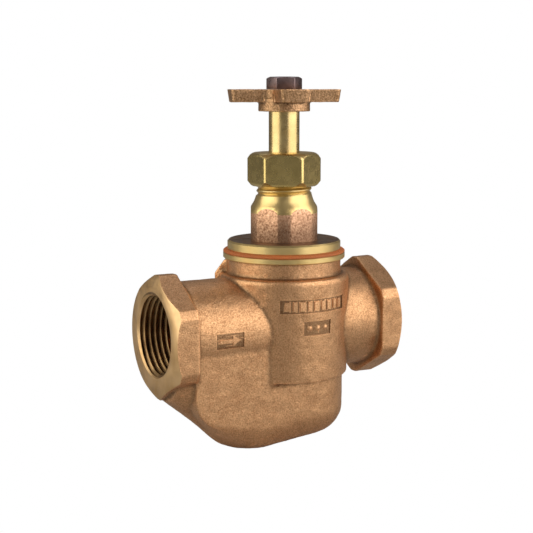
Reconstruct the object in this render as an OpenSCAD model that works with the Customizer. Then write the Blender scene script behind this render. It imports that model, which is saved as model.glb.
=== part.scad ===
// Globe valve with threaded pipe ports, a screwed bonnet and a rising stem.
//
// Frame: millimetres. The origin is the centre of the inlet face, +X runs along
// the pipe from the inlet to the outlet, and +Z runs up the stem. The valve is
// drawn open: the disc stands one full lift above its seat. Screwed walls are
// drawn plain, at the radius where their threads meet.

/* [Ports] */
// Across flats of the wrench hexagon on each port
port_af = 34.4; // [32:0.5:42]
// Length of each wrench hexagon along the pipe
port_hex_len = 7.6; // [7:0.2:14]
// Radius of the port bore at the crests of its pipe thread
port_bore_r = 12; // [10:0.1:13.5]
// Length of the threaded wall in each port
port_thread_len = 14; // [11:0.5:16]
// How far the inlet's hexagon is cast below its bore
inlet_hex_drop = 0.8; // [0:0.1:1]
// Distance from the stem axis to the inlet face
inlet_reach = 44.5; // [40:0.5:54]
// Distance from the stem axis to the outlet face
outlet_reach = 33.5; // [31:0.5:42]

/* [Body] */
// Wall thickness of the casting
wall = 2.8; // [2.2:0.1:3.6]
// Outer radius of the inlet and outlet necks
neck_r = 15.6; // [15:0.1:17]
// Outer radius of the barrel at its top
barrel_r = 20.4; // [19.5:0.1:25]
// How much narrower the barrel is at its foot, for draft
barrel_draft = 0.5; // [0:0.1:1.2]
// Height of the barrel's shoulder above the pipe axis
barrel_top = 16.2; // [15:0.2:22]
// Depth of the barrel's foot below the pipe axis
barrel_drop = 15.4; // [14:0.2:20]
// Half width of the inlet pan under the barrel
pan_half_w = 15; // [14:0.1:16.5]
// Depth of the pan's floor below the pipe axis
pan_drop = 37.3; // [34:0.5:45]
// Radius of the pan's rounded lower edge
pan_round = 9; // [5:0.5:11]

/* [Bonnet seat] */
// Outer radius of the machined ring on which the bonnet seats
rim_r = 19; // [18:0.1:23]
// Height of that ring
rim_h = 1.8; // [1:0.1:3]
// Height of the collar between the ring and the barrel
collar_h = 4.6; // [3:0.1:8]
// Outer radius of the collar
collar_r = 17.7; // [17:0.1:19]
// Radius of the bonnet's screw joint with the body
bonnet_screw_r = 14.6; // [13.6:0.1:15.6]

/* [Seat and disc] */
// Radius of the seat's opening
seat_bore_r = 9; // [7.5:0.1:10]
// Width of the seat's flat face
seat_land = 1.3; // [0.8:0.1:1.6]
// Height of the seat's face above the partition
seat_h = 2; // [1:0.1:3]
// Lift of the disc from shut to fully open
disc_lift = 7; // [4:0.5:8]
// Thickness of the rubber seat disc
seat_disc_t = 3; // [2.4:0.1:4]

/* [Bonnet] */
// Outer radius of the bonnet flange
flange_r = 17.65; // [16.6:0.1:22]
// Thickness of the bonnet flange
flange_h = 2.8; // [2:0.1:5]
// Across flats of the bonnet's wrench hexagon
bonnet_af = 20.6; // [19.6:0.1:25]
// Radius to which the hexagon's corners are turned
bonnet_turn_r = 10.9; // [10.6:0.1:13]
// Height of the hexagon above the flange, at its corners
bonnet_hex_h = 8.4; // [6:0.2:12]
// Radius of the stuffing box's neck under the packing nut
box_neck_r = 8.55; // [8.4:0.05:9.6]
// Thickness of the bonnet gasket
gasket_t = 1; // [0.6:0.1:2]

/* [Packing] */
// Across flats of the packing nut
nut_af = 20; // [19:0.1:24]
// Radius to which the packing nut's corners are turned
nut_turn_r = 11.35; // [10.8:0.05:13.5]
// Height of the packing nut
nut_h = 10.3; // [9:0.1:13]
// Height of one packing ring
packing_h = 2.6; // [2:0.1:2.9]

/* [Stem] */
// Radius of the polished stem
stem_r = 4.75; // [4.2:0.05:5.2]
// Bare stem between the packing nut and the handle's hub, with the valve open
stem_bare = 12.5; // [9:0.5:18]
// Side of the square that drives the handle
stem_square = 6.4; // [5.4:0.1:6.6]

/* [Handle] */
// Reach of each arm of the cross handle from its axis
arm_reach = 17.2; // [15:0.2:30]
// Width of an arm
arm_w = 9.3; // [7:0.1:12]
// Thickness of the arms
arm_t = 4; // [3:0.1:6]
// Radius of the hub under the arms
hub_r = 8; // [7:0.1:10]
// Height of the hub under the arms
hub_h = 2.8; // [2:0.1:5]
// Turn of the handle about the stem, seen from above
handle_turn = -17.5; // [-45:0.5:45]
// Across flats of the handle screw's head
screw_af = 9.6; // [9.2:0.1:13]
// Height of the screw's head
screw_head_h = 3.8; // [2:0.1:5]
// Radius of the handle screw's shank
screw_r = 2; // [1.5:0.05:2.2]

/* [Hidden] */
$fn = 96;

// Clearances
running = 0.06;   // radial gap of a turning or sliding shaft in its hole
screwed = 0.05;   // radial gap between two screwed walls
slack = 0.15;     // gap round a part that sits loosely in its place
shut_gap = 0.03;  // gap left under the seat disc after a full lift down
over = 1;         // how far a cut runs past the face it opens

// Outside heights along the stem axis, from the pipe axis up
rim_z0 = barrel_top + collar_h;
gasket_z0 = rim_z0 + rim_h;
flange_z0 = gasket_z0 + gasket_t;
bonnet_hex_z0 = flange_z0 + flange_h;
cone_z0 = bonnet_hex_z0 + bonnet_hex_h;
cone_h1 = 2.1;
cone_h2 = 2.9;
cone_mid_r = (bonnet_turn_r + box_neck_r) / 2 + 0.35;
box_neck_z0 = cone_z0 + cone_h1 + cone_h2;
box_neck_h = 3.2;
nut_z0 = box_neck_z0 + box_neck_h;
nut_z1 = nut_z0 + nut_h;
hub_z0 = nut_z1 + stem_bare;
arm_z0 = hub_z0 + hub_h;
arm_z1 = arm_z0 + arm_t;

// Stuffing box: washer, packing rings and gland follower, from the top down
box_thread_r = box_neck_r - 0.35;
box_bore_r = box_thread_r - 1.2;
nut_web = 3;
gland_z1 = nut_z1 - nut_web;
gland_lip_h = 1.2;
gland_lip_r = box_thread_r - 0.6;
box_top_z = gland_z1 - gland_lip_h - 0.5;
packing_z1 = box_top_z - 2;
packing_z0 = packing_z1 - 3 * packing_h;
box_washer_t = 1;
box_floor_z = packing_z0 - box_washer_t;

// Stem thread, in the bonnet's tail
tail_z0 = rim_z0 - 8.8;
stem_thread_r = stem_r + 0.75;
stem_relief_r = stem_thread_r + 0.7;
nut_thread_z1 = tail_z0 + 12;
guide_z0 = box_floor_z - 3.8;
stem_thread_z1 = guide_z0 - 0.6;
stem_thread_z0 = tail_z0 + 3;

// Radius at which the screw head's corners are bevelled
screw_head_r = screw_af / sqrt(3) + 0.1;

// Seat, cut in a ring that screws into the partition
barrel_foot_r = barrel_r - barrel_draft;
chamber_r = barrel_foot_r - wall;
seat_floor_z = -barrel_drop + 3;
seat_z = seat_floor_z + seat_h;
seat_screw_r = seat_bore_r + 1.9;
seat_flange_r = seat_screw_r + 1.4;

// Disc and the swivel that hangs it on the stem
disc_z0 = seat_z + disc_lift + shut_gap;
disc_z1 = disc_z0 + seat_disc_t;
disc_r = seat_bore_r + seat_land + 1.2;
disc_lip = 1.8;
holder_r = disc_r + 1.2;
holder_web = 1.6;
swivel_r = stem_thread_r + 1.1;
swivel_h = 2.4;
swivel_z0 = disc_z1 + holder_web + running;
swivel_z1 = swivel_z0 + swivel_h;
locknut_z0 = swivel_z1 + running;
locknut_r = swivel_r + 1.4;
locknut_h = 2.4;
locknut_cap_h = 1.6;
locknut_cap_af = 15;
holder_tube_r = locknut_r + 1.4;
stud_r = 2.2;
plate_t = 0.9;
plate_r = 6.8;
disc_nut_h = 2.4;
disc_nut_af = 7;

// Radius to which the ports' hexagons are trimmed
port_turn_r = port_af / sqrt(3) - 0.8;

// Pan under the barrel: its heel is before the stem axis, its toe past it
heel_x = -13;
toe_x = 4.2;
toe_rise = 1.8;
bow_r = 8;
keel_r = 14.2;
keel_drop = port_turn_r + inlet_hex_drop + 0.3;
bow_x = -inlet_reach + port_hex_len - 0.3;
bow_drop = 18.5;
foot_z = -barrel_drop + 1;

// ---------------------------------------------------------------- helpers

// Moves a part drawn round the stem axis to its place.
module at_stem() translate([inlet_reach, 0, 0]) children();

// Turns a part drawn along +Z so that it runs along +X.
module along_x() rotate([0, 90, 0]) children();

// A cylinder from z0 to z1.
module rod(r, z0, z1) translate([0, 0, z0]) cylinder(r = r, h = z1 - z0);

// A ring from z0 to z1.
module ring(r_out, r_in, z0, z1) difference() {
    rod(r_out, z0, z1);
    rod(r_in, z0 - over, z1 + over);
}

// A hexagonal bar from z0 to z1. One of its flats looks along +X once it is
// turned by 0 degrees.
module hex_bar(af, z0, z1, turn) translate([0, 0, z0]) rotate([0, 0, turn + 30])
    cylinder(r = af / sqrt(3), h = z1 - z0, $fn = 6);

// A round bar with bevelled ends, to turn a hexagon's corners.
module turned(r, z0, z1, low, high) union() {
    rod(r, z0 + low, z1 - high);
    translate([0, 0, z0]) cylinder(r1 = r - low, r2 = r, h = low);
    translate([0, 0, z1 - high]) cylinder(r1 = r, r2 = r - high, h = high);
}

// ------------------------------------------------------------------- body

// The wrench hexagon of a port, drawn along +Z with its open face at z = 0.
// Two of its flats are upright once it is laid along X.
module port_hex() intersection() {
    hex_bar(port_af, 0, port_hex_len, 90);
    union() {
        cylinder(r1 = port_af / 2 - 0.3, r2 = port_turn_r, h = 1.5);
        rod(port_turn_r, 1.5, port_hex_len - 0.6);
        translate([0, 0, port_hex_len - 0.6])
            cylinder(r1 = port_turn_r, r2 = port_turn_r - 0.6, h = 0.6);
    }
}

// The threaded bore of a port, with its mouth at z = 0.
module port_bore() rod(port_bore_r, -over, port_thread_len);

// A round pad whose lower edge is rounded, to shape the pan's heel and toe.
module pan_pad(r, edge) rotate_extrude($fn = 32) intersection() {
    translate([r - edge, 0]) circle(r = edge, $fn = 32);
    translate([0, -edge]) square([r, 2 * edge]);
}

// The pan, shrunk on every side by `inset`. Its bow is upright beside the
// hexagon and its toe is round.
module pan(inset) hull() {
    translate([bow_x + bow_r, 0, -bow_drop]) rotate([90, 0, 0])
        cylinder(r = bow_r - inset, h = 2 * (pan_half_w - inset), center = true, $fn = 32);
    translate([bow_x + bow_r, 0, 0]) along_x() cylinder(r = pan_half_w - inset, h = 12, $fn = 32);
    translate([heel_x, 0, -pan_drop + pan_round]) pan_pad(pan_half_w - inset, pan_round - inset);
    translate([toe_x, 0, -pan_drop + pan_round + toe_rise]) pan_pad(pan_half_w - inset, pan_round - inset);
    translate([toe_x, 0, foot_z]) cylinder(r = pan_half_w - inset, h = 1, $fn = 32);
}

// The keel that carries the pan's slope up to the inlet's hexagon.
module keel() hull() {
    translate([-inlet_reach + 2.6, 0, keel_r - keel_drop]) along_x() cylinder(r = keel_r, h = 4, $fn = 32);
    translate([heel_x, 0, -pan_drop + pan_round]) pan_pad(pan_half_w - 1, pan_round);
}

module valve_body() color("#c08a58") at_stem() difference() {
    union() {
        // inlet neck and pan, hollowed before the barrel's wall and partition
        // cross them
        difference() {
            union() {
                translate([-inlet_reach + 2, 0, 0]) along_x() rod(neck_r, 0, inlet_reach - 10);
                pan(0);
                keel();
            }
            pan(wall);
        }
        // barrel, collar and the machined ring that the bonnet seats on
        translate([0, 0, -barrel_drop])
            cylinder(r1 = barrel_foot_r, r2 = barrel_r, h = barrel_drop + barrel_top);
        rod(collar_r, barrel_top - over, rim_z0 + over / 2);
        rod(rim_r, rim_z0, gasket_z0);
        // outlet neck and the hexagons of both ports
        translate([barrel_r - 8, 0, 0]) along_x() rod(neck_r, 0, outlet_reach - barrel_r + 6);
        translate([-inlet_reach, 0, -inlet_hex_drop]) along_x() port_hex();
        translate([outlet_reach, 0, 0]) mirror([1, 0, 0]) along_x() port_hex();
    }
    // ports and the passages behind their threads
    translate([-inlet_reach, 0, 0]) along_x() port_bore();
    translate([outlet_reach, 0, 0]) mirror([1, 0, 0]) along_x() port_bore();
    along_x() rod(port_bore_r - 0.5, 5 - inlet_reach, bow_x + bow_r + 2);
    along_x() rod(port_bore_r - 0.5, 0, outlet_reach - 5);
    // barrel chamber, its screwed mouth and the hole for the seat ring
    rod(bonnet_screw_r + screwed, tail_z0 - over, gasket_z0 + over);
    rod(chamber_r, seat_floor_z, tail_z0 - 0.5);
    rod(seat_screw_r + screwed, -barrel_drop - over, seat_floor_z + over);
}

module seat_ring() color("#d9b25a") at_stem() difference() {
    union() {
        rod(seat_screw_r, -barrel_drop, seat_floor_z);
        rod(seat_flange_r, seat_floor_z, seat_z - 0.7);
        rod(seat_bore_r + seat_land, seat_floor_z, seat_z);
    }
    rod(seat_bore_r, -barrel_drop - over, seat_z + over);
}

// ----------------------------------------------------------------- bonnet

module bonnet_gasket() color("#c8501e") at_stem()
    ring(rim_r, bonnet_screw_r + slack, gasket_z0, flange_z0);

// The turned outline of the bonnet above its flange.
module bonnet_outline() union() {
    rod(bonnet_turn_r, bonnet_hex_z0 - over, cone_z0);
    translate([0, 0, cone_z0]) cylinder(r1 = bonnet_turn_r, r2 = cone_mid_r, h = cone_h1);
    translate([0, 0, cone_z0 + cone_h1]) cylinder(r1 = cone_mid_r, r2 = box_neck_r, h = cone_h2);
    rod(box_neck_r, box_neck_z0, nut_z0 - slack);
}

module bonnet() color("#c9a066") at_stem() difference() {
    union() {
        // screwed tail and flange
        rod(bonnet_screw_r, tail_z0, flange_z0);
        rod(flange_r, flange_z0, bonnet_hex_z0 - 0.5);
        translate([0, 0, bonnet_hex_z0 - 0.5]) cylinder(r1 = flange_r, r2 = flange_r - 0.5, h = 0.5);
        // wrench hexagon, bitten into arches by the cone
        intersection() {
            hex_bar(bonnet_af, bonnet_hex_z0 - over, nut_z0, -28.5);
            bonnet_outline();
        }
        // stuffing box
        rod(box_thread_r, box_neck_z0, box_top_z);
    }
    // stem thread, the room its upper end rises into, and the guide hole
    rod(stem_thread_r + screwed, tail_z0 - over, guide_z0 - over);
    rod(stem_relief_r, nut_thread_z1, guide_z0);
    rod(stem_r + running, guide_z0 - over, box_top_z + over);
    rod(box_bore_r, box_floor_z, box_top_z + over);
}

// ---------------------------------------------------------------- packing

module packing_washer() color("#d9b25a") at_stem()
    ring(box_bore_r - slack, stem_r + slack, box_floor_z, packing_z0);

// One of the packing rings, counted from the lowest.
module packing_ring(i) color("#4a4a46") at_stem()
    ring(box_bore_r - screwed, stem_r + running, packing_z0 + i * packing_h, packing_z0 + (i + 1) * packing_h);

module gland_follower() color("#d9b25a") at_stem() difference() {
    union() {
        rod(box_bore_r - slack, packing_z1, gland_z1);
        rod(gland_lip_r, gland_z1 - gland_lip_h, gland_z1);
    }
    rod(stem_r + running, packing_z1 - over, gland_z1 + over);
}

module packing_nut() color("#b8964a") at_stem() difference() {
    intersection() {
        hex_bar(nut_af, nut_z0, nut_z1, 0);
        turned(nut_turn_r, nut_z0, nut_z1, 1.5, 1.7);
    }
    rod(box_thread_r + screwed, nut_z0 - over, gland_z1);
    rod(stem_r + slack, gland_z1 - over, nut_z1 + over);
}

// ------------------------------------------------------------------- stem

module stem() color("#dcc06a") at_stem() difference() {
    union() {
        rod(swivel_r, swivel_z0, swivel_z1);
        rod(stem_thread_r - 0.1, swivel_z1 - over, stem_thread_z0);
        rod(stem_thread_r, stem_thread_z0, stem_thread_z1);
        rod(stem_r, stem_thread_z1 - over, hub_z0);
        translate([-stem_square / 2, -stem_square / 2, hub_z0 - over])
            cube([stem_square, stem_square, hub_h + arm_t - 0.3 + over]);
    }
    rod(screw_r + screwed, hub_z0 - 4, arm_z1 + over);
}

// One arm of the cross handle, with its tip's corners rounded.
module arm() {
    tip = 1.4;
    translate([0, -arm_w / 2, arm_z0]) cube([arm_reach - tip, arm_w, arm_t]);
    translate([0, tip - arm_w / 2, arm_z0]) cube([arm_reach, arm_w - 2 * tip, arm_t]);
    for (side = [-1, 1])
        translate([arm_reach - tip, side * (arm_w / 2 - tip), 0]) rod(tip, arm_z0, arm_z1);
}

// The web that rounds the inner corner between two arms.
module arm_web() {
    web = 2.6;
    translate([arm_w / 2, arm_w / 2, arm_z0]) difference() {
        translate([-over, -over, 0]) cube([web + over, web + over, arm_t]);
        translate([web, web, 0]) rod(web, -over, arm_t + over);
    }
}

module handle() color("#b98a4a") at_stem() difference() {
    union() {
        for (quarter = [0:3]) rotate([0, 0, handle_turn + 90 * quarter]) {
            arm();
            arm_web();
        }
        rod(hub_r, hub_z0, arm_z0 + over);
    }
    translate([-stem_square / 2 - screwed, -stem_square / 2 - screwed, hub_z0 - over])
        cube([stem_square + 2 * screwed, stem_square + 2 * screwed, hub_h + arm_t + 2 * over]);
}

module handle_screw() color("#6a4a40") at_stem() union() {
    rod(screw_r, hub_z0 - 3, arm_z1 + over);
    intersection() {
        hex_bar(screw_af, arm_z1, arm_z1 + screw_head_h, 6);
        union() {
            rod(screw_head_r, arm_z1, arm_z1 + screw_head_h - 0.5);
            translate([0, 0, arm_z1 + screw_head_h - 0.5])
                cylinder(r1 = screw_head_r, r2 = screw_head_r - 0.9, h = 0.5);
        }
    }
}

// ------------------------------------------------------------------- disc

module disc_holder() color("#c9a066") at_stem() union() {
    difference() {
        union() {
            rod(holder_r, disc_z1 - disc_lip, disc_z1 + holder_web);
            rod(holder_tube_r, disc_z1, locknut_z0 + locknut_h);
        }
        rod(disc_r + screwed, disc_z1 - disc_lip - over, disc_z1);
        rod(swivel_r + slack, disc_z1 + holder_web, locknut_z0);
        rod(locknut_r + screwed, locknut_z0 - 0.01, locknut_z0 + locknut_h + over);
    }
    rod(stud_r, disc_z0 - plate_t - disc_nut_h - 0.3, disc_z1 + 0.5);
}

module disc_locknut() color("#d9b25a") at_stem() difference() {
    union() {
        rod(locknut_r, locknut_z0, locknut_z0 + locknut_h);
        hex_bar(locknut_cap_af, locknut_z0 + locknut_h, locknut_z0 + locknut_h + locknut_cap_h, 0);
    }
    rod(stem_thread_r - 0.1 + running, locknut_z0 - over, locknut_z0 + locknut_h + locknut_cap_h + over);
}

module seat_disc() color("#2a2a2a") at_stem() ring(disc_r, stud_r + screwed, disc_z0, disc_z1);

module disc_plate() color("#d9b25a") at_stem() ring(plate_r, stud_r + screwed, disc_z0 - plate_t, disc_z0);

module disc_nut() color("#d9b25a") at_stem() difference() {
    hex_bar(disc_nut_af, disc_z0 - plate_t - disc_nut_h, disc_z0 - plate_t, 0);
    rod(stud_r + screwed, disc_z0 - plate_t - disc_nut_h - over, disc_z0 - plate_t + over);
}

// ----------------------------------------------------------------- output

valve_body();
seat_ring();
bonnet_gasket();
bonnet();
packing_washer();
packing_ring(0);  // packing_ring_lower
packing_ring(1);  // packing_ring_middle
packing_ring(2);  // packing_ring_upper
gland_follower();
packing_nut();
stem();
handle();
handle_screw();
disc_holder();
disc_locknut();
seat_disc();
disc_plate();
disc_nut();
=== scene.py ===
# %% [markdown]
# # A threaded globe valve
# This lesson builds the looks of a small bronze globe valve around a packed
# CAD model. The CAD model gives the sizes and says which parts move together.
# Here each part that shows gets its real surface: a casting has soft edges and
# a sandy skin, and a machined face is flat, crisp and brighter.

# %% Load the frame
import math
import bpy
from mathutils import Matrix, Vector


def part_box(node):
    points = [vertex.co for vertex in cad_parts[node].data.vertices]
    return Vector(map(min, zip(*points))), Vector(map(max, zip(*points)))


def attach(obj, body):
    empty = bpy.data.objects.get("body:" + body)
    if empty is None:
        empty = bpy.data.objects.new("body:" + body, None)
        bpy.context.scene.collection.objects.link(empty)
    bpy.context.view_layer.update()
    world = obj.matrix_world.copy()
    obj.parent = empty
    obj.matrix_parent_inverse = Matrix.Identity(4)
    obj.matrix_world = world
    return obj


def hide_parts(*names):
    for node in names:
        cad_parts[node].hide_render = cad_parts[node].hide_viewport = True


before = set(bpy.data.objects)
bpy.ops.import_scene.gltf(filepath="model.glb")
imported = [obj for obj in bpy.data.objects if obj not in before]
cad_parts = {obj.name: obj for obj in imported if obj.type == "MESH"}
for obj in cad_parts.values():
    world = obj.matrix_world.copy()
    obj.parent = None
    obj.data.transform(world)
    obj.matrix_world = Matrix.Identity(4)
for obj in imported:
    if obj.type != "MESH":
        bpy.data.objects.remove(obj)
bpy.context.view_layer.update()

# %% [markdown]
# ## Sizes
# Modelling in millimetres keeps every number readable. One unit is 1 mm while
# a piece is being made, and its last step scales it to metres. The heights
# come from the boxes of the CAD nodes, so a piece meets its neighbours.

# %% Read the heights from the CAD nodes
MM = 0.001


def span(node):
    """The lowest and highest corner of a CAD node, in millimetres."""
    low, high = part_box(node)
    return low / MM, high / MM


axis_x = sum(v.x for v in span("stem")) / 2
reach_out = span("valve_body")[1].x
pan_low = span("valve_body")[0].z
gasket_low, gasket_high = (v.z for v in span("bonnet_gasket"))
neck_top = span("bonnet")[1].z
nut_low, nut_high = (v.z for v in span("packing_nut"))
hub_low, arms_high = (v.z for v in span("handle"))
screw_low, head_high = (v.z for v in span("handle_screw"))
stem_low, stem_high = (v.z for v in span("stem"))
print("stem axis", round(axis_x, 2), "outlet face", round(reach_out, 2))

# %% [markdown]
# ## A few tools
# Most pieces are sums and differences of turned and extruded shapes, just as
# the real ones are cast round cores, and then drilled and turned. These
# helpers wrap the operators for that, so the cells below stay short.


# %% Helpers that select, apply and combine
def deselect():
    bpy.ops.object.select_all(action="DESELECT")


def pick(obj):
    """Selects one object alone and makes it the active one."""
    deselect()
    obj.select_set(True)
    bpy.context.view_layer.objects.active = obj
    return obj


def settle(obj):
    """Moves an object's place, turn and scale into its mesh."""
    pick(obj)
    bpy.ops.object.transform_apply(location=True, rotation=True, scale=True)
    return obj


def modify(obj, kind, **settings):
    """Adds one modifier, sets it and applies it."""
    pick(obj)
    modifier = obj.modifiers.new(kind.title(), kind)
    for key, value in settings.items():
        setattr(modifier, key, value)
    bpy.ops.object.modifier_apply(modifier=modifier.name)
    return obj


def combine(obj, others, how):
    """Joins, cuts or intersects obj with the others, and removes them."""
    for other in others:
        modify(obj, "BOOLEAN", object=other, operation=how,
               solver="MANIFOLD", material_mode="TRANSFER")
        bpy.data.objects.remove(other)
    if not obj.data.polygons:
        raise ValueError(obj.name + " came out empty")
    return obj


def join(obj, *others):
    return combine(obj, others, "UNION")


def cut(obj, *others):
    return combine(obj, others, "DIFFERENCE")


def common(obj, *others):
    return combine(obj, others, "INTERSECT")


def edit(obj, *actions):
    """Runs actions in edit mode, each with everything selected."""
    pick(obj)
    bpy.ops.object.mode_set(mode="EDIT")
    for action in actions:
        bpy.ops.mesh.select_all(action="SELECT")
        action()
    bpy.ops.object.mode_set(mode="OBJECT")
    return obj


def grab(obj, test):
    """Opens edit mode with only the points that pass a test selected."""
    pick(obj)
    bpy.ops.object.mode_set(mode="EDIT")
    bpy.ops.mesh.select_mode(type="VERT")
    bpy.ops.mesh.select_all(action="DESELECT")
    bpy.ops.object.mode_set(mode="OBJECT")
    for vertex in obj.data.vertices:
        vertex.select = test(vertex.co)
    bpy.ops.object.mode_set(mode="EDIT")


def face_out():
    bpy.ops.mesh.normals_make_consistent(inside=False)


def gather(name, *parts):
    """Puts several shells into one object."""
    deselect()
    for part in parts:
        part.select_set(True)
    bpy.context.view_layer.objects.active = parts[0]
    bpy.ops.object.join()
    parts[0].name = name
    return parts[0]


# %% [markdown]
# Round and six-sided bars are the shapes that a lathe and a mill leave. Each
# starts as a primitive at its place along an axis.

# %% Bars along an axis
def bar(name, r, a, b, along="z", at=(0, 0), r2=None, sides=128, turn=0.0):
    """A bar from a to b along one axis. `at` is its place on the other two."""
    deselect()
    bpy.ops.mesh.primitive_cone_add(
        vertices=sides, radius1=r, radius2=r if r2 is None else r2,
        depth=b - a, rotation=(0, 0, math.radians(turn)))
    obj = settle(bpy.context.object)
    middle = (a + b) / 2
    obj.location, obj.rotation_euler = {
        "x": ((middle, at[0], at[1]), (0, math.pi / 2, 0)),
        "y": ((at[0], middle, at[1]), (-math.pi / 2, 0, 0)),
        "z": ((at[0], at[1], middle), (0, 0, 0))}[along]
    obj.name = name
    return settle(obj)


def on_stem(name, r, a, b, **more):
    """A bar on the stem's axis."""
    return bar(name, r, a, b, at=(axis_x, 0), **more)


def hexagon(name, flats, a, b, **more):
    """A six-sided bar, measured across its flats."""
    return bar(name, flats / math.sqrt(3), a, b, sides=6, **more)


def block(name, low, high):
    """A box between two corners."""
    deselect()
    size = [h - l for l, h in zip(low, high)]
    bpy.ops.mesh.primitive_cube_add(
        size=1, location=[(l + h) / 2 for l, h in zip(low, high)], scale=size)
    obj = settle(bpy.context.object)
    obj.name = name
    return obj


# %% [markdown]
# A turned piece is drawn as its profile, a list of radii and heights. A disc
# is extruded up from one height to the next and scaled to each new radius.

# %% Turned pieces
def turned(name, profile, sides=128):
    """A solid of revolution round the stem's axis, from its foot up."""
    deselect()
    r, z = profile[0]
    bpy.ops.mesh.primitive_circle_add(vertices=sides, radius=r,
                                      fill_type="NGON", location=(axis_x, 0, z))
    obj = settle(bpy.context.object)
    obj.name = name
    bpy.ops.object.mode_set(mode="EDIT")
    bpy.ops.mesh.select_all(action="SELECT")
    for wide, high in profile[1:]:
        bpy.ops.mesh.extrude_region_move(
            TRANSFORM_OT_translate={"value": (0, 0, high - z)})
        bpy.ops.transform.resize(value=(wide / r, wide / r, 1),
                                 center_override=(axis_x, 0, high))
        r, z = wide, high
    bpy.ops.object.mode_set(mode="OBJECT")
    return edit(obj, face_out)


# %% [markdown]
# A screw thread is a diamond section swept along a helix. Half of the diamond
# is in the metal when it is used as a cutter, so it leaves a V groove with a
# narrow crest between its turns.

# %% Thread cutter
def thread(name, r, depth, pitch, low, high, land=0.12):
    """A helical cutter on the z axis, from low to high."""
    deselect()
    bpy.ops.mesh.primitive_circle_add(vertices=4, radius=1, fill_type="NOTHING",
                                      rotation=(math.pi / 2, 0, 0))
    obj = settle(bpy.context.object)
    obj.scale = (depth, 1, (pitch - land) / 2)
    obj.location = (r, 0, low)
    settle(obj)
    obj.name = name
    modify(obj, "SCREW", axis="Z", angle=2 * math.pi, screw_offset=pitch,
           iterations=math.ceil((high - low) / pitch), steps=72,
           render_steps=72, use_merge_vertices=False, use_normal_calculate=True)
    return edit(obj, lambda: bpy.ops.mesh.remove_doubles(threshold=1e-5),
                lambda: bpy.ops.mesh.fill_holes(sides=8), face_out)


# %% [markdown]
# ## Metals
# Every finish here is a metal with a procedural surface. Sand casting leaves a
# grainy skin with patches of tone. Turning leaves fine rings and a brighter
# colour. All patterns are in Object coordinates, scaled so that one unit of
# the pattern is 1 mm on the part.

# %% Node helpers
def new_finish(name):
    """A material, a function that adds its nodes, and one that links them."""
    made = bpy.data.materials.new(name)
    made.use_nodes = True
    tree = made.node_tree

    def add(kind, **settings):
        node = tree.nodes.new("ShaderNode" + kind)
        for key, value in settings.items():
            if hasattr(node, key):
                setattr(node, key, value)
            else:
                node.inputs[key.replace("_", " ")].default_value = value
        return node

    return made, add, lambda a, b: tree.links.new(a, b)


def millimetres(add, link, centre=(0, 0, 0)):
    """Object coordinates in millimetres, counted from a centre."""
    where = add("TexCoord")
    scale = add("Mapping", vector_type="POINT")
    scale.inputs["Scale"].default_value = (1 / MM,) * 3
    scale.inputs["Location"].default_value = [-v for v in centre]
    link(where.outputs["Object"], scale.inputs["Vector"])
    return scale.outputs["Vector"]


def noise(add, link, where, size, detail=3.0, rough=0.55):
    """Noise whose lumps are about `size` millimetres across."""
    node = add("TexNoise", Scale=1 / size, Detail=detail, Roughness=rough)
    link(where, node.inputs["Vector"])
    return node.outputs["Fac"]


def between(add, link, value, low, high, start=0.35, end=0.65):
    """Spreads a value in start..end over low..high."""
    node = add("MapRange", From_Min=start, From_Max=end, To_Min=low, To_Max=high)
    link(value, node.inputs["Value"])
    return node.outputs["Result"]


def tones(add, link, value, stops):
    """A colour ramp through (place, colour) stops."""
    ramp = add("ValToRGB")
    for _ in stops[2:]:
        ramp.color_ramp.elements.new(0.5)
    for element, (place, colour) in zip(ramp.color_ramp.elements, stops):
        element.position, element.color = place, (*colour, 1)
    link(value, ramp.inputs["Fac"])
    return ramp.outputs["Color"]


def bump(add, link, height, depth, strength=1.0, under=None):
    """Bump of a depth in millimetres, on top of another bump."""
    node = add("Bump", Strength=strength, Distance=depth * MM)
    link(height, node.inputs["Height"])
    if under is not None:
        link(under, node.inputs["Normal"])
    return node.outputs["Normal"]


def shade_by(add, link, colour, shade):
    """One colour multiplied by another."""
    node = add("Mix", data_type="RGBA", blend_type="MULTIPLY")
    node.inputs["Factor"].default_value = 1.0
    link(colour, node.inputs[6])
    link(shade, node.inputs[7])
    return node.outputs[2]
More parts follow.
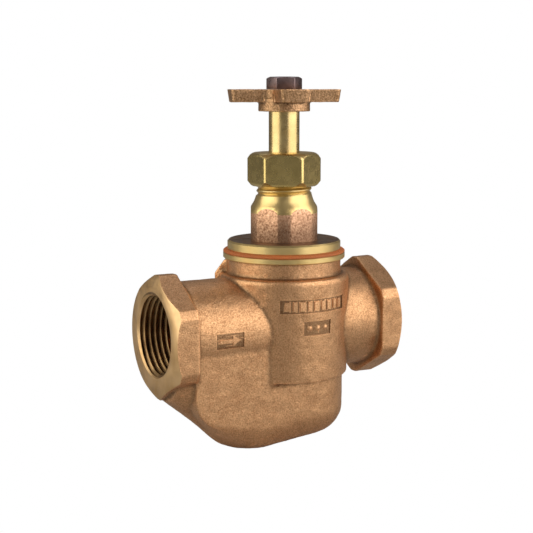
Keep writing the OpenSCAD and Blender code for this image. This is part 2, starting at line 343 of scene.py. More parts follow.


# %% [markdown]
# ### Cast bronze
# The skin of a sand casting is a layer of small pits and lumps the size of the
# sand, over slow changes of tone. Hollow corners are darkened with painted
# shade, and the outer corners are brightened with a painted highlight.

# %% Cast finish
def cast(name, dark, light, grain=0.42, depth=0.03, rough=(0.42, 0.6), edge_highlight=1.25):
    made, add, link = new_finish(name)
    shader = made.node_tree.nodes["Principled BSDF"]
    shader.inputs["Metallic"].default_value = 1.0
    where = millimetres(add, link)
    patches = noise(add, link, where, 5.5, detail=4)
    speckle = noise(add, link, where, grain, detail=2, rough=0.6)
    mixed = add("Math", operation="MULTIPLY_ADD")
    link(speckle, mixed.inputs[0])
    mixed.inputs[1].default_value = 0.85
    link(between(add, link, patches, 0.02, 0.1), mixed.inputs[2])
    middle = tuple((a + b) / 2 for a, b in zip(dark, light))
    colour = tones(add, link, mixed.outputs[0],
                   [(0.3, dark), (0.47, middle), (0.68, light)])
    # Pointiness paints shade into hollow corners and a highlight onto outer corners.
    edges = add("NewGeometry").outputs["Pointiness"]
    shade_and_highlight_mask = between(add, link, edges, 0, 1, 0.47, 0.53)
    painted_shade_and_highlight = tones(add, link, shade_and_highlight_mask, [(0.0, (0.5,) * 3), (0.5, (1.0,) * 3),
                                     (1.0, (edge_highlight,) * 3)])
    link(shade_by(add, link, colour, painted_shade_and_highlight), shader.inputs["Base Color"])
    link(between(add, link, speckle, rough[1], rough[0]), shader.inputs["Roughness"])
    slow = bump(add, link, noise(add, link, where, 2.6, detail=2), 0.12, 0.5)
    sand = add("TexVoronoi", Scale=1 / grain, Randomness=1.0)
    link(where, sand.inputs["Vector"])
    pits = bump(add, link, sand.outputs["Distance"], depth, 0.6, slow)
    link(bump(add, link, noise(add, link, where, grain, detail=5, rough=0.65),
              depth * 1.6, 0.8, pits), shader.inputs["Normal"])
    return made


cast_bronze = cast("cast_bronze", (0.44, 0.225, 0.11), (0.82, 0.50, 0.28),
                   grain=0.4, depth=0.055, rough=(0.36, 0.52))
bonnet_bronze = cast("bonnet_bronze", (0.42, 0.22, 0.13), (0.92, 0.58, 0.39),
                     grain=0.6, depth=0.06)
handle_bronze = cast("handle_bronze", (0.27, 0.15, 0.07), (0.74, 0.46, 0.27),
                     grain=0.5, depth=0.07, rough=(0.36, 0.55))

# %% [markdown]
# ### Machined brass and bronze
# A lathe tool leaves rings round the axis it turned on. Wave bands along an
# axis give the lines on the side of a turned piece, and wave rings give those
# on its face. A soft noise varies the shine, as handling and oil do.

# %% Machined finish
def machined(name, dark, light, rough=(0.2, 0.34), lines="Z", pitch=0.16,
             depth=0.003, centre=(0, 0, 0), faces=None):
    made, add, link = new_finish(name)
    shader = made.node_tree.nodes["Principled BSDF"]
    shader.inputs["Metallic"].default_value = 1.0
    where = millimetres(add, link, centre)
    tarnish = noise(add, link, where, 7.0, detail=3, rough=0.5)
    link(tones(add, link, tarnish, [(0.3, dark), (0.7, light)]),
         shader.inputs["Base Color"])
    smears = noise(add, link, where, 2.4, detail=2)
    link(between(add, link, smears, *rough), shader.inputs["Roughness"])
    side = add("TexWave", wave_type="BANDS", bands_direction=lines,
               Scale=0.314 / pitch, Distortion=1.2, Detail=2.0)
    link(where, side.inputs["Vector"])
    normal = bump(add, link, side.outputs["Fac"], depth, 0.35)
    if faces:
        rings = add("TexWave", wave_type="RINGS", rings_direction=faces,
                    Scale=0.314 / pitch, Distortion=0.8, Detail=2.0)
        link(where, rings.inputs["Vector"])
        normal = bump(add, link, rings.outputs["Fac"], depth, 0.35, normal)
    link(bump(add, link, noise(add, link, where, 0.8, detail=1), 0.001, 0.2, normal),
         shader.inputs["Normal"])
    return made


stem_place = (axis_x, 0, 0)
machined_brass = machined("machined_brass", (0.74, 0.54, 0.23), (0.88, 0.68, 0.32),
                          rough=(0.28, 0.36), depth=0.0015, centre=stem_place,
                          faces="Z")
port_face = machined("port_face", (0.66, 0.42, 0.2), (0.84, 0.58, 0.32),
                     rough=(0.36, 0.48), lines="X", faces="X")
nut_brass = machined("nut_brass", (0.60, 0.46, 0.18), (0.72, 0.56, 0.24),
                     rough=(0.24, 0.3), depth=0.001, centre=stem_place)
# A darker copy of the port's machined bronze: painted shade inside the bore and its
# thread.
port_bore = machined("port_bore", (0.26, 0.15, 0.07), (0.62, 0.41, 0.2),
                     rough=(0.28, 0.4), lines="X")
stem_brass = machined("stem_brass", (0.68, 0.5, 0.22), (0.84, 0.66, 0.34),
                      rough=(0.24, 0.32), pitch=0.1, depth=0.0015, centre=stem_place)
screw_metal = machined("screw_metal", (0.2, 0.14, 0.15), (0.42, 0.32, 0.34),
                       rough=(0.26, 0.42), centre=stem_place)
# A darker copy of the brass: painted shade for the flange's upper face.
flange_top_painted_shade = machined("flange_top_painted_shade", (0.16, 0.09, 0.05), (0.34, 0.21, 0.12),
                      rough=(0.3, 0.5), centre=stem_place, faces="Z")


# %% [markdown]
# ### Soft parts
# The gasket is red fibre sheet, the packing is graphite yarn and the seat disc
# is black rubber. None is a metal, so each is a rough plain surface with
# fibres or fine pores.

# %% Fibre, yarn and rubber
def soft(name, dark, light, size, rough, depth, stretch=(1, 1, 1)):
    made, add, link = new_finish(name)
    shader = made.node_tree.nodes["Principled BSDF"]
    where = millimetres(add, link, stem_place)
    pull = add("Mapping")
    pull.inputs["Scale"].default_value = stretch
    link(where, pull.inputs["Vector"])
    fibres = noise(add, link, pull.outputs["Vector"], size, detail=6, rough=0.7)
    link(tones(add, link, fibres, [(0.3, dark), (0.7, light)]),
         shader.inputs["Base Color"])
    link(between(add, link, fibres, *rough), shader.inputs["Roughness"])
    link(bump(add, link, fibres, depth, 0.8), shader.inputs["Normal"])
    return made


red_gasket = soft("red_gasket", (0.4, 0.09, 0.02), (0.66, 0.21, 0.06),
                  0.5, (0.5, 0.7), 0.05, (1, 1, 3))
packing = soft("packing", (0.012, 0.012, 0.013), (0.06, 0.06, 0.062),
               0.4, (0.4, 0.6), 0.08, (1, 1, 2))
seat_rubber = soft("seat_rubber", (0.01, 0.01, 0.01), (0.035, 0.034, 0.032),
                   0.3, (0.55, 0.75), 0.02)
FINISHES = {m.name.split(".")[0]: m for m in (
    cast_bronze, bonnet_bronze, handle_bronze, machined_brass, nut_brass,
    stem_brass, screw_metal, red_gasket, packing, seat_rubber)}
print(len(bpy.data.materials), "materials in the file")


# %% [markdown]
# ### Handing a piece over
# Each piece gets its finish while it is in millimetres. It is then scaled to
# metres, given to the body that it moves with, and the CAD nodes that it takes
# the place of are hidden.

# %% Helpers that give a piece its finish and hand it to the frame
def coat(obj, finish):
    """Gives a whole piece one finish."""
    obj.data.materials.clear()
    obj.data.materials.append(finish)
    return obj


def soften(obj, width, angle=35, segments=2):
    """Breaks the sharp edges of a piece."""
    return modify(obj, "BEVEL", width=width, segments=segments,
                  limit_method="ANGLE", angle_limit=math.radians(angle),
                  use_clamp_overlap=True)


def hand_over(obj, name, body, slot, *nodes, angle=35):
    """Scales a piece to metres, smooths it and gives it to a body."""
    obj.name = name
    pick(obj)
    obj.scale = (MM, MM, MM)
    settle(obj)
    bpy.ops.object.shade_smooth_by_angle(angle=math.radians(angle))
    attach(obj, body)
    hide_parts(*nodes)
    low = [min(v.co[i] for v in obj.data.vertices) / MM for i in range(3)]
    high = [max(v.co[i] for v in obj.data.vertices) / MM for i in range(3)]
    print(name, len(obj.data.polygons), "faces", [round(v, 2) for v in low],
          [round(v, 2) for v in high])
    return obj


# %% [markdown]
# ## The body's casting
# The body is one sand casting: two necks in line, a barrel, and a pan that
# carries the water down from the inlet and under the seat. A hull stretched
# round simple shapes gives the pan its straight flanks and its round toe.

# %% Pan and keel
NECK_R, BARREL_R, FOOT_R, COLLAR_R, RIM_R = 15.6, 20.4, 19.9, 17.7, 19.0
SHOULDER, FOOT = 16.2, -15.4
HEX_LENGTH, HEX_FLATS, HEX_ROUND, HEX_DROP = 7.6, 34.4, 19.06, 0.8
PAN_HALF, PAN_EDGE, WALL = 15.0, 9.0, 2.8
HEEL, TOE, TOE_RISE = axis_x - 13, axis_x + 4.2, 1.8
BOW, BOW_R, BOW_DROP = HEX_LENGTH - 0.3, 8.0, 18.5
rim_low = gasket_low - 1.8


def hull(name, *parts):
    """One shell stretched round several parts."""
    return edit(gather(name, *parts), lambda: bpy.ops.mesh.convex_hull(), face_out)


def pad(r, edge, x, rise=0.0):
    """A round pad with a rounded edge, at the pan's floor."""
    deselect()
    bpy.ops.mesh.primitive_torus_add(
        major_radius=r - edge, minor_radius=edge, major_segments=72,
        minor_segments=48, location=(x, 0, pan_low + PAN_EDGE + rise))
    return settle(bpy.context.object)


def pan(inset):
    """The pan, shrunk on every side by inset."""
    half = PAN_HALF - inset
    edge = PAN_EDGE - inset
    return hull(
        "pan",
        bar("bow", BOW_R - inset, -half, half, along="y",
            at=(BOW + BOW_R, -BOW_DROP)),
        bar("root", half, BOW + inset, BOW + BOW_R + 12, along="x"),
        pad(half, edge, HEEL), pad(half, edge, TOE, TOE_RISE),
        bar("toe", half, FOOT + 1, FOOT + 2, at=(TOE, 0)))


keel = hull("keel", bar("stem_post", 14.2, 2.6, 6.6, along="x", at=(0, -5.96)),
            pad(PAN_HALF - 1, PAN_EDGE, HEEL))
outer_pan = pan(0)
print("pan", len(outer_pan.data.vertices), "points on its hull")


# %% [markdown]
# The ports end in wrench hexagons. Their corners are trimmed round, as the
# pattern is, and each face is left long here because it is turned flat later.
# A small wedge stands against the collar, behind the inlet's neck.

# %% Necks, barrel and hexagons
def port_hexagon(face, inwards, drop):
    """The hexagon of a port whose face is at x, running inwards."""
    ends = sorted((face - inwards * 1.2, face + inwards * HEX_LENGTH))
    return common(
        hexagon("hexagon", HEX_FLATS, *ends, along="x", at=(0, -drop), turn=90),
        bar("trim", HEX_ROUND, *ends, along="x", at=(0, -drop)))


barrel = turned("barrel", [
    (FOOT_R, FOOT), (BARREL_R - 0.05, SHOULDER - 1.4),
    (BARREL_R - 0.35, SHOULDER - 0.5), (BARREL_R - 0.95, SHOULDER),
    (COLLAR_R + 0.1, SHOULDER - 0.15), (COLLAR_R, rim_low + 0.8)])
RIB_TURN = -37
rib = hull("rib", block("high", (-18.3, -4, 15), (-15, 4, rim_low - 0.6)),
           block("low", (-21.4, -4, 13), (-17, 4, 15.8)))
rib.rotation_euler = (0, 0, math.radians(RIB_TURN))
rib.location = (axis_x, 0, 0)
settle(rib)
casting = gather(
    "casting", barrel, outer_pan, keel, rib,
    bar("inlet_neck", NECK_R, 2, axis_x - 10, along="x"),
    bar("outlet_neck", NECK_R, axis_x + 12, reach_out - 2, along="x"),
    port_hexagon(0, 1, HEX_DROP), port_hexagon(reach_out, -1, 0))

# %% [markdown]
# A voxel remesh fuses all these shells into one skin of even squares. A little
# smoothing then rounds every edge and fills every inner corner at once, as
# the radii of a wooden pattern do. Last, slow noise moves the skin by a tenth
# of a millimetre, since no sand mould is perfectly true.

# %% Fuse and soften the casting
SKIN, UNEVEN = 0.45, 0.22
modify(casting, "REMESH", mode="VOXEL", voxel_size=SKIN, adaptivity=0.0)
modify(casting, "SMOOTH", factor=0.5, iterations=5)
unevenness = bpy.data.textures.new("unevenness", "CLOUDS")
unevenness.noise_scale = 3.2
modify(casting, "DISPLACE", texture=unevenness, texture_coords="LOCAL",
       strength=UNEVEN, mid_level=0.75)
coat(casting, cast_bronze)
print("casting", len(casting.data.polygons), "faces")

# %% [markdown]
# ## Machining the body
# The cores and the lathe come next. Cutters carry the finish that they leave:
# a core leaves cast bronze, and a tool leaves bright metal. The pan's core
# stops at the barrel, whose foot and wall divide the inlet from the outlet.

# %% Cores
CORE_R = 11.5
inner_pan = cut(pan(WALL), turned("wall", [(FOOT_R, FOOT), (BARREL_R, SHOULDER)]))
for core in (inner_pan,
             bar("inlet_core", CORE_R, 5, BOW + BOW_R + 2, along="x"),
             on_stem("chamber", FOOT_R - WALL, FOOT + 3, 11.5),
             bar("outlet_core", CORE_R, axis_x, reach_out - 5, along="x")):
    cut(casting, coat(core, cast_bronze))

# %% [markdown]
# The rim that carries the gasket is turned, so it is added after the casting
# was softened and keeps its crisp edge. The two holes below it are the plain
# walls of the bonnet's and the seat ring's screw joints.

# %% Rim, bonnet joint and seat hole
BONNET_SCREW_R, SEAT_SCREW_R = 14.65, 10.95
rim = turned("rim", [(RIM_R - 0.25, rim_low), (RIM_R, rim_low + 0.25),
                     (RIM_R, gasket_low - 0.2), (RIM_R - 0.2, gasket_low)])
join(casting, coat(rim, machined_brass))
for tool in (on_stem("bonnet_joint", BONNET_SCREW_R, 11, gasket_low + 1),
             on_stem("seat_hole", SEAT_SCREW_R, FOOT - 1, FOOT + 4)):
    cut(casting, coat(tool, machined_brass))

# %% [markdown]
# Each port is faced flat, chamfered round the outside of its hexagon, bored,
# and tapped with a taper pipe thread of 14 threads to the inch. The thread is
# a real groove, because its dark and bright turns are what shows in the mouth.

# %% Face, bore and tap the ports
PORT_R, THREAD_LENGTH, FACE_R = 12.0, 14.0, 16.9
PIPE_PITCH, PIPE_DEPTH = 25.4 / 14, 1.2


def machine_port(face, inwards, drop):
    """Turns and taps the port whose face is at x, running inwards."""
    def tool(name, r, start, end, r2=None, at=(0, 0)):
        a, b = face + inwards * start, face + inwards * end
        if inwards > 0:
            return bar(name, r, a, b, along="x", r2=r2, at=at)
        return bar(name, r if r2 is None else r2, b, a, along="x", r2=r, at=at)

    slope = (HEX_ROUND - FACE_R) / 1.5
    kept = tool("kept", FACE_R, 0, 2.2, FACE_R + 2.2 * slope, at=(0, -drop))
    facing = cut(tool("facing", 26, -3, 2.1), kept)
    bore = tool("bore", PORT_R, -1, THREAD_LENGTH)
    mouth = tool("mouth", PORT_R + 1.9, -1, 0.9, PORT_R)
    tap = thread("tap", PORT_R, PIPE_DEPTH, PIPE_PITCH,
                 -1.5 * PIPE_PITCH, THREAD_LENGTH - 1.2)
    tap.rotation_euler = (0, inwards * math.pi / 2, 0)
    tap.location = (face, 0, 0)
    settle(tap)
    for cutter, finish in ((facing, port_face), (mouth, port_face),
                           (bore, port_bore), (tap, port_bore)):
        cut(casting, coat(cutter, finish))


machine_port(0, 1, HEX_DROP)
machine_port(reach_out, -1, 0)
print("machined body", len(casting.data.polygons), "faces")

# %% [markdown]
# ## Marks on the casting
# Such castings carry sunken panels with raised marks. These are plain: a row
# of short bars, three dots, and an arrow that shows the direction of flow.
# The panels are cut by a prism whose inner side follows the barrel.

# %% Panels on the barrel
PANEL_SUNK, MARK_RISE = 0.3, 0.27


def barrel_prism(name, centre, half, low, high, r_in, r_out):
    """A curved block on the barrel between two heights, by azimuth."""
    shell = cut(on_stem(name, r_out, low, high),
                on_stem("inside", r_in, low - 1, high + 1))
    reach = r_out + 2
    side = reach * math.tan(math.radians(half))
    slab = block("slab", (0, -side, low - 2), (reach, side, high + 2))
    grab(slab, lambda co: co.x < 1e-4)
    bpy.ops.transform.resize(value=(1, 1e-3, 1), center_override=(0, 0, 0))
    bpy.ops.object.mode_set(mode="OBJECT")
    slab.rotation_euler = (0, 0, math.radians(centre))
    slab.location = (axis_x, 0, 0)
    return common(shell, settle(slab))


def radius_at(z):
    return FOOT_R + (BARREL_R - FOOT_R) * (z - FOOT) / (SHOULDER - FOOT)


def panel(centre, half, low, high):
    r = radius_at((low + high) / 2)
    cut(casting, coat(barrel_prism("panel", centre, half, low, high,
                                   r - PANEL_SUNK, r + 3), cast_bronze))
    return r - PANEL_SUNK


r_panel = panel(-89.5, 33, 6.3, 10.4)
for k in range(9):
    join(casting, coat(barrel_prism(
        "bar", -89.5 + (k - 4) * 6.6, 1.7 if k % 2 else 2.3, 7.0, 9.7,
        r_panel - 0.4, r_panel + MARK_RISE), cast_bronze))
r_panel = panel(-88, 13.5, -0.6, 3.7)
for k in (-1, 0, 1):
    turn = math.radians(-88 + 8 * k)
    reach = (r_panel + MARK_RISE - 1.0)
    deselect()
    bpy.ops.mesh.primitive_uv_sphere_add(
        segments=32, ring_count=16, radius=1.1,
        location=(axis_x + reach * math.cos(turn), reach * math.sin(turn), 1.55))
    join(casting, coat(settle(bpy.context.object), cast_bronze))
print("marked body", len(casting.data.polygons), "faces")

# %% [markdown]
# The arrow is a bar and a three-sided prism in a sunken field. It points from
# the inlet to the outlet, as the flow does, and is trimmed to the neck's round.

# %% Flow arrow on the inlet's neck
ARROW_X, ARROW_Z = 18.0, -0.5
field = block("field", (ARROW_X - 4.5, -20, ARROW_Z - 2.25),
              (ARROW_X + 4.5, -10, ARROW_Z + 2.25))
cut(casting, coat(cut(field, bar("neck", NECK_R - PANEL_SUNK, 0, 40, along="x")),
                  cast_bronze))
shaft = block("shaft", (ARROW_X - 3.4, -20, ARROW_Z - 0.45),
              (ARROW_X + 0.8, -14.4, ARROW_Z + 0.45))
deselect()
bpy.ops.mesh.primitive_cone_add(vertices=3, radius1=1.75, radius2=1.75, depth=5.6)
tip = settle(bpy.context.object)
tip.rotation_euler = (math.pi / 2, math.pi / 2, 0)
tip.location = (ARROW_X + 1.7, -17.2, ARROW_Z)
arrow = join(settle(tip), shaft)
common(arrow, bar("neck", NECK_R - 0.06, 0, 40, along="x"))
join(casting, coat(arrow, cast_bronze))
hand_over(casting, "body_casting", "casing", "cast_bronze", "valve_body")

# %% [markdown]
# ## Gasket
# A ring of red fibre sheet is squeezed between the rim and the bonnet. Its
# edge bulges a little, so it gets a round outer edge.

# %% Gasket
ring = turned("ring", [(18.8, gasket_low), (RIM_R, gasket_low + 0.22),
                       (18.95, gasket_low + 0.5), (18.6, gasket_low + 0.8),
                       (18.1, gasket_high)])
cut(ring, on_stem("hole", 14.75, gasket_low - 1, gasket_high + 1))
hand_over(coat(ring, red_gasket), "gasket_ring", "casing", "red_gasket",
          "bonnet_gasket", angle=50)

# %% [markdown]
# ## Bonnet
# The bonnet is cast as a hexagonal bar on a flange, and then turned. The lathe
# leaves the flats rough and cuts the cone above them, which gives each flat
# its arched top. So the rough bar is intersected with the turned profile.

# %% Bonnet outline and hexagon
FLANGE_R, FLANGE_TOP = 17.65, gasket_high + 2.8
BONNET_FLATS, BONNET_TURN = 20.6, -28.5
CONE_LOW, TAIL_LOW = FLANGE_TOP + 8.4, rim_low - 8.8
cone = [(10.9, FLANGE_TOP - 0.3), (10.9, CONE_LOW + 0.1), (10.82, CONE_LOW + 0.7),
        (10.5, CONE_LOW + 1.5), (10.0, CONE_LOW + 2.4), (9.4, CONE_LOW + 3.35),
        (9.05, CONE_LOW + 4.2), (8.75, CONE_LOW + 5.1), (8.55, CONE_LOW + 5.8),
        (8.55, nut_low - 0.15), (8.2, nut_low - 0.1), (8.2, neck_top - 0.4),
        (7.9, neck_top)]
rough_bar = common(
    coat(hexagon("rough_bar", BONNET_FLATS, FLANGE_TOP - 0.3, neck_top + 1,
                 at=(axis_x, 0), turn=BONNET_TURN), bonnet_bronze),
    coat(turned("outline", cone), machined_brass))
flange = coat(turned("flange", [
    (FLANGE_R - 0.12, gasket_high), (FLANGE_R, gasket_high + 0.15),
    (FLANGE_R, FLANGE_TOP - 0.5), (FLANGE_R - 0.45, FLANGE_TOP)]), machined_brass)
tail = coat(turned("tail", [(14.0, TAIL_LOW), (14.6, TAIL_LOW + 0.6),
                            (14.6, gasket_high + 1)]), machined_brass)
bonnet = join(rough_bar, flange, tail)
print("bonnet outline", len(bonnet.data.polygons), "faces")

# %% [markdown]
# The flange's upper face is painted darker than its rim, as painted shade.
# Its faces are found by their height and their upward normal, and take the
# darker painted-shade finish.

# %% Flange top, bores and threads
bonnet.data.materials.append(flange_top_painted_shade)
rough_skin = bonnet.data.materials.find(bonnet_bronze.name)
for face in bonnet.data.polygons:
    if face.normal.z > 0.9 and abs(face.center.z - FLANGE_TOP) < 0.05:
        face.material_index = len(bonnet.data.materials) - 1
    elif FLANGE_TOP < face.center.z < CONE_LOW + 0.1:
        face.material_index = rough_skin
STEM_HOLE_R = 4.81
box_floor = span("packing_washer")[0].z
guide_low = box_floor - 3.8
for tool in (on_stem("box", 7.0, box_floor, neck_top + 1),
             on_stem("guide", STEM_HOLE_R, guide_low - 1, box_floor + 1),
             on_stem("relief", 6.2, TAIL_LOW + 12, guide_low),
             on_stem("stem_nut", 5.55, TAIL_LOW - 1, TAIL_LOW + 13)):
    cut(bonnet, coat(tool, machined_brass))


def tap_on_stem(r, depth, pitch, low, high):
    """A thread cutter on the stem's axis."""
    tap = thread("tap", r, depth, pitch, low, high)
    tap.location = (axis_x, 0, 0)
    return coat(settle(tap), machined_brass)


cut(bonnet, tap_on_stem(8.62, 0.62, 1.6, CONE_LOW + 5.2, nut_low + 1.2))
cut(bonnet, tap_on_stem(14.65, 0.5, 1.5, TAIL_LOW + 0.4, gasket_low - 2))
hand_over(bonnet, "bonnet_shell", "casing", "bonnet_bronze", "bonnet")

# %% [markdown]
# ## Packing nut
# The nut is made from drawn hexagon bar: its flats are smooth, and both ends
# are chamfered in the lathe. A narrow bright bevel runs down each corner.

# %% Packing nut
NUT_FLATS, NUT_BEVEL = 20.0, 0.75
nut = soften(coat(hexagon("nut", NUT_FLATS, nut_low, nut_high, at=(axis_x, 0)),
                  nut_brass), NUT_BEVEL, segments=5)
profile = [(9.75, nut_low), (10.35, nut_low + 0.35), (11.35, nut_low + 1.6),
           (11.35, nut_high - 1.8), (10.6, nut_high - 0.7), (9.9, nut_high - 0.2),
           (9.3, nut_high)]
common(nut, coat(turned("chamfers", profile), machined_brass))
web_low = nut_high - 3.0
for tool in (on_stem("cavity", 8.25, nut_low - 1, web_low),
             on_stem("stem_way", STEM_HOLE_R, web_low - 1, nut_high + 1),
             turned("lead_in", [(4.7, nut_high - 0.5), (5.3, nut_high + 0.1)])):
    cut(nut, coat(tool, machined_brass))
hand_over(nut, "packing_nut_shell", "casing", "nut_brass", "packing_nut")

# %% [markdown]
# ## Stem
# One bar of brass: a swivel collar at its foot, a coarse thread that lifts the
# disc, a polished shank in the packing, and a square that drives the handle.

# %% Stem
thread_low, thread_high = TAIL_LOW + 3, guide_low - 0.6
stem = turned("stem", [
    (6.4, stem_low), (6.6, stem_low + 0.2), (6.6, stem_low + 2.2),
    (6.4, stem_low + 2.4), (5.4, stem_low + 2.4), (5.4, thread_low),
    (5.5, thread_low + 0.1), (5.5, thread_high - 0.4), (4.75, thread_high),
    (4.75, hub_low)])
coat(stem, stem_brass)
SQUARE = 3.2
square = soften(block("square", (axis_x - SQUARE, -SQUARE, hub_low - 1),
                      (axis_x + SQUARE, SQUARE, stem_high)), 0.3)
join(stem, coat(square, stem_brass))
cut(stem, coat(on_stem("screw_hole", 2.05, hub_low - 4, stem_high + 1), stem_brass))
LIFT_PITCH = 2.5
lift_thread = thread("lift_thread", 5.55, 0.95, LIFT_PITCH, thread_low + 0.3,
                     thread_high - 2.6, land=0.9)
lift_thread.location = (axis_x, 0, 0)
cut(stem, coat(settle(lift_thread), stem_brass))
hand_over(stem, "stem_rod", "spindle", "stem_brass", "stem")

# %% [markdown]
# ## Handle
# A small cast cross with square ends. Its arms are drawn, fused and softened
# in the same way as the body, and then the square hole is broached.

# %% Handle
TURN, ARM_REACH, ARM_W, ARM_T, HUB_R, WEB = -17.5, 17.2, 9.3, 4.0, 8.0, 2.6
arm_low = arms_high - ARM_T


def arm(turn):
    """One arm: a tapered block with its far corners rounded."""
    piece = block("arm", (0, -ARM_W / 2, arm_low), (ARM_REACH, ARM_W / 2, arms_high))
    grab(piece, lambda co: False)
    bpy.ops.mesh.select_mode(type="EDGE")
    bpy.ops.object.mode_set(mode="OBJECT")
    for edge in piece.data.edges:
        a, b = (piece.data.vertices[i].co for i in edge.vertices)
        edge.select = min(a.x, b.x) > 1 and abs(a.z - b.z) > 1
    bpy.ops.object.mode_set(mode="EDIT")
    bpy.ops.mesh.bevel(offset=1.4, segments=6)
    bpy.ops.object.mode_set(mode="OBJECT")
    grab(piece, lambda co: co.z < arm_low + 0.01)
    bpy.ops.transform.resize(value=(0.968, 0.88, 1), center_override=(0, 0, arm_low))
    bpy.ops.object.mode_set(mode="OBJECT")
    piece.rotation_euler = (0, 0, math.radians(turn))
    piece.location = (axis_x, 0, 0)
    return settle(piece)


def web(turn):
    """The rounded corner between two arms."""
    half = ARM_W / 2
    piece = block("web", (half - 1, half - 1, arm_low),
                  (half + WEB, half + WEB, arms_high))
    cut(piece, bar("round", WEB, arm_low - 1, arms_high + 1,
                   at=(half + WEB, half + WEB), sides=48))
    piece.rotation_euler = (0, 0, math.radians(turn))
    piece.location = (axis_x, 0, 0)
    return settle(piece)


turns = [TURN + 90 * k for k in range(4)]
handle = gather("handle", on_stem("hub", HUB_R, hub_low, arm_low + 1),
                *[arm(t) for t in turns], *[web(t) for t in turns])
HANDLE_SKIN, HANDLE_UNEVEN = 0.25, 0.2
modify(handle, "REMESH", mode="VOXEL", voxel_size=HANDLE_SKIN, adaptivity=0.0)
modify(handle, "SMOOTH", factor=0.5, iterations=2)
lumps = bpy.data.textures.new("lumps", "CLOUDS")
lumps.noise_scale = 2.0
modify(handle, "DISPLACE", texture=lumps, texture_coords="LOCAL",
       strength=HANDLE_UNEVEN, mid_level=0.8)
coat(handle, handle_bronze)
BROACH = 3.25
hole = block("hole", (axis_x - BROACH, -BROACH, hub_low - 1),
             (axis_x + BROACH, BROACH, arms_high + 1))
cut(handle, coat(hole, machined_brass))
hand_over(handle, "cross_handle", "spindle", "handle_bronze", "handle")

# %% [markdown]
# ## Handle screw
# A dark hexagon-headed screw holds the handle down. Its head is chamfered at
# 30 degrees and a little domed, and its shank is threaded into the stem.

# %% Handle screw
HEAD_FLATS, HEAD_R, HEAD_TURN = 9.6, 5.6, 6
head = soften(hexagon("head", HEAD_FLATS, arms_high, head_high, at=(axis_x, 0),
                      turn=HEAD_TURN), 0.15)
common(head, turned("head_turned", [
    (HEAD_R - 0.25, arms_high), (HEAD_R, arms_high + 0.15), (HEAD_R, head_high - 0.75),
    (HEAD_R - 0.55, head_high - 0.35), (4.4, head_high - 0.06), (2.0, head_high)]))
shank = turned("shank", [(1.5, screw_low), (2.0, screw_low + 0.5),
                         (2.0, arms_high + 0.5)], sides=64)
join(head, shank)
screw_cut = thread("screw_cut", 2.02, 0.34, 0.8, screw_low - 0.5, arms_high - 2)
screw_cut.location = (axis_x, 0, 0)
cut(head, settle(screw_cut))
hand_over(coat(head, screw_metal), "handle_screw_body", "spindle", "screw_metal",
          "handle_screw")

# %% [markdown]
# ## Inner parts
# The seat, the packing and the disc are plain turned parts, so their CAD
# shapes are right as they are. Each takes the finish of its material slot.

# %% Finishes for the carried-over nodes
for name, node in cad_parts.items():
    for slot in node.material_slots:
        slot.material = FINISHES[slot.material.name.split(".")[0]]
    print(name, [slot.material.name for slot in node.material_slots])

# %% [markdown]
# ## Stage
# A plain pale floor lies under the pan. It is painted grey for the light that
# falls on it, so that it throws a little light up under the casting.

# %% Floor
deselect()
bpy.ops.mesh.primitive_plane_add(size=40, location=(axis_x * MM, 0, pan_low * MM))
floor = bpy.context.object
floor.name = "floor"
pale, add, link = new_finish("floor_paint")
shader = pale.node_tree.nodes["Principled BSDF"]
shader.inputs["Base Color"].default_value = (0.55, 0.55, 0.55, 1)
shader.inputs["Roughness"].default_value = 0.8
glow = add("Emission", Strength=1.0)
mix = add("MixShader")
path = add("LightPath")
link(path.outputs["Is Camera Ray"], mix.inputs[0])
link(shader.outputs[0], mix.inputs[1])
link(glow.outputs[0], mix.inputs[2])
link(mix.outputs[0], pale.node_tree.nodes["Material Output"].inputs["Surface"])
floor.data.materials.append(pale)

# %% [markdown]
# The camera sees the floor and the room as plain white. The metal is lit by a
# room about a sixth as bright, since polished metal in a white room has no
# dark band in it and looks like plaster.

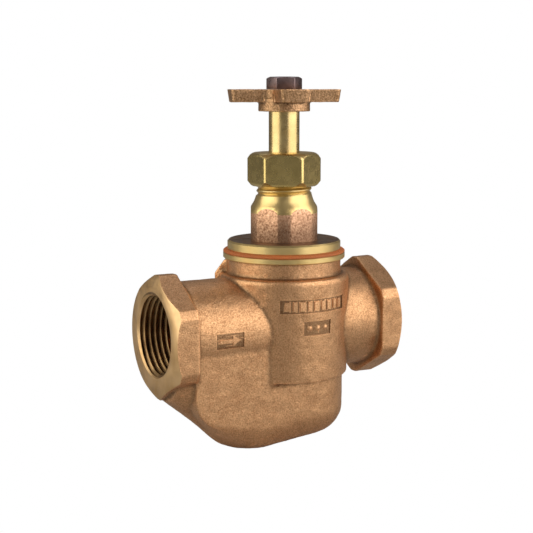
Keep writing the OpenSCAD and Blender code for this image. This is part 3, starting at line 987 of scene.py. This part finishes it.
# %% World
world = bpy.data.worlds.new("studio")
bpy.context.scene.world = world
world.use_nodes = True
tree = world.node_tree
tree.nodes.clear()
output = tree.nodes.new("ShaderNodeOutputWorld")
mix = tree.nodes.new("ShaderNodeMixShader")
path = tree.nodes.new("ShaderNodeLightPath")
dim, bright = (tree.nodes.new("ShaderNodeBackground") for _ in range(2))
dim.inputs["Color"].default_value = (0.17, 0.16, 0.15, 1)
bright.inputs["Color"].default_value = (1, 1, 1, 1)
tree.links.new(path.outputs["Is Camera Ray"], mix.inputs[0])
tree.links.new(dim.outputs[0], mix.inputs[1])
tree.links.new(bright.outputs[0], mix.inputs[2])
tree.links.new(mix.outputs[0], output.inputs[0])


# %% [markdown]
# Two wide soft boxes stand at the left and the right, so that a round bar shows
# a bright band on each side and a dark one in the middle. Both are a little
# warm. A small box behind separates the handle from the room.

# %% Soft boxes
def soft_box(name, azimuth, height, distance, size, power, tint, aim=(0, 0, 15)):
    """An area light at an azimuth, seen from above, that faces the valve."""
    target = Vector((axis_x + aim[0], aim[1], aim[2])) * MM
    turn = math.radians(azimuth)
    place = target + Vector((math.cos(turn) * distance, math.sin(turn) * distance,
                             height)) * MM
    deselect()
    bpy.ops.object.light_add(type="AREA", location=place)
    light = bpy.context.object
    light.name = name
    light.data.shape = "RECTANGLE"
    light.data.size, light.data.size_y = (v * MM for v in size)
    light.data.energy = power
    light.data.color = tint
    light.rotation_euler = (target - place).to_track_quat("-Z", "Y").to_euler()
    return light


VIEW, SPREAD = -118.5, 68
soft_box("left_box", VIEW - SPREAD, 200, 620, (820, 760), 3.3, (1, 0.95, 0.8))
soft_box("right_box", VIEW + SPREAD, 230, 620, (1000, 820), 4.8, (1, 0.94, 0.84))
soft_box("top_box", VIEW + 180, 700, 420, (500, 300), 0.5, (1, 1, 1))

# %% [markdown]
# ## Camera
# The camera looks at the valve from its front left and a little above, from
# far enough away that the upright lines stay nearly upright.

# %% Camera
AZIMUTH, PITCH, DISTANCE, SIDE = math.radians(-28.5), math.radians(8.73), 360.7, 5.43
back = Vector((math.sin(AZIMUTH) * math.cos(PITCH),
               -math.cos(AZIMUTH) * math.cos(PITCH), math.sin(PITCH)))
right = Vector((math.cos(AZIMUTH), math.sin(AZIMUTH), 0))
place = Vector((axis_x, 0, 17.6)) + back * DISTANCE - right * SIDE
deselect()
bpy.ops.object.camera_add(location=place * MM,
                          rotation=(math.pi / 2 - PITCH, 0, AZIMUTH))
camera = bpy.context.object
camera.data.sensor_width = 36
camera.data.lens = 77.67
camera.data.clip_start, camera.data.clip_end = 0.01, 20
bpy.context.scene.camera = camera
bpy.context.scene.view_settings.view_transform = "Standard"
